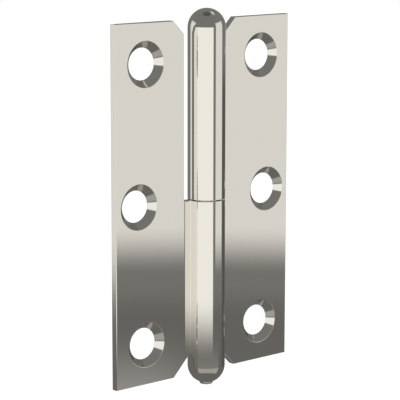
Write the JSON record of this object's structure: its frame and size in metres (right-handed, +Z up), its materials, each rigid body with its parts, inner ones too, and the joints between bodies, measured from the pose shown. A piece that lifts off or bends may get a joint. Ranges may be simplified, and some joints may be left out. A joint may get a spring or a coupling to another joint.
{
  "type": "lift-off butt hinge",
  "caption": "Polished lift-off butt hinge: two flat leaves with clipped inner corners and countersunk holes, rolled knuckles on one pin, a domed cap above and a domed pin head below.",
  "frame": {"origin": "on the pin's axis, half way up the leaves", "axes": "+Z up along the pin, towards the domed cap; +X across the door leaf; +Y out of the leaves' backs, so the countersunk faces look to -Y"},
  "size_m": [0.0382, 0.0064, 0.0638],
  "materials": {
    "plated_sheet": "polished nickel plate on rolled steel sheet",
    "plated_turned": "polished nickel plate on turned steel"
  },
  "bodies": {
    "frame_side": {"frame_leaf": "plated_sheet", "hinge_pin": "plated_turned"},
    "lifting_cap": {"top_cap": "plated_turned"},
    "door_side": {"door_leaf": "plated_sheet"}
  },
  "joints": [
    {"name": "lift_off", "type": "slide", "parent": "frame_side", "child": "lifting_cap", "axis": [0, 0, 1], "range_m": [0, 0.028]},
    {"name": "swing", "type": "hinge", "parent": "lifting_cap", "child": "door_side", "pos_m": [0, 0, 0], "axis": [0, 0, 1], "range_deg": [-180, 135]}
  ]
}
